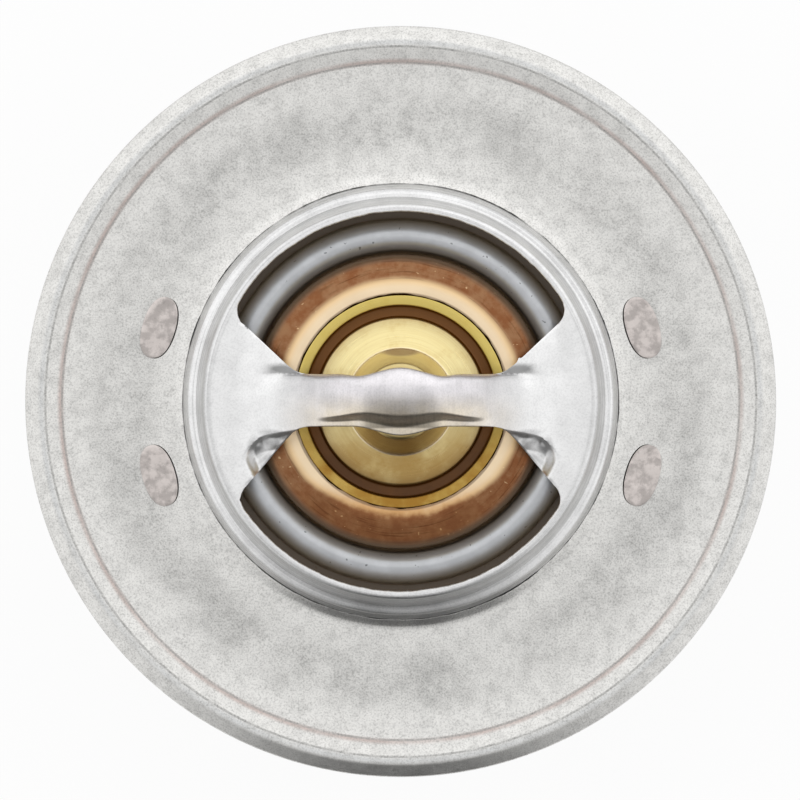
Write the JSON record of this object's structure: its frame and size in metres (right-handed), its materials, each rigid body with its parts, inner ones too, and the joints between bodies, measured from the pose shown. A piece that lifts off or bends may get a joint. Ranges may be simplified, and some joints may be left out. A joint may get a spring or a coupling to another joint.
{
  "type": "engine thermostat",
  "caption": "Wax-capsule engine coolant thermostat: round seating flange, arched upper bridge, sprung valve disc and lower cage, with a sliding capsule that opens the valve.",
  "frame": {"origin": "centre of the flange's lower face, which seats in the housing", "axes": "+Z along the axis towards the upper bridge, X along the bridge's strap"},
  "size_m": [0.054, 0.054, 0.0439],
  "materials": {
    "flange_steel": "tumbled stainless steel sheet",
    "bridge_steel": "drawn stainless steel sheet",
    "frame_steel": "tumbled stainless steel sheet",
    "piston_steel": "ground stainless steel",
    "spring_steel": "drawn stainless spring wire",
    "disc_steel": "pressed stainless steel",
    "cup_copper": "drawn copper",
    "guide_brass": "turned brass",
    "washer_ptfe": "sheet plastic",
    "boot_rubber": "moulded rubber",
    "wax": "copper filled wax"
  },
  "bodies": {
    "frame": {"flange": "flange_steel", "upper_bridge": "bridge_steel", "lower_frame": "frame_steel", "piston": "piston_steel", "main_spring": "spring_steel"},
    "valve": {"valve_disc": "disc_steel", "wax_cup": "cup_copper", "piston_guide": "guide_brass", "seal_washer": "washer_ptfe", "squeeze_boot": "boot_rubber", "wax_charge": "wax"}
  },
  "joints": [
    {"name": "valve_stroke", "type": "slide", "parent": "frame", "child": "valve", "axis": [0, 0, -1], "range_m": [0, 0.008], "stiffness_N_per_m": 3200, "springref_m": -0.007, "deforming": ["main_spring"]}
  ]
}
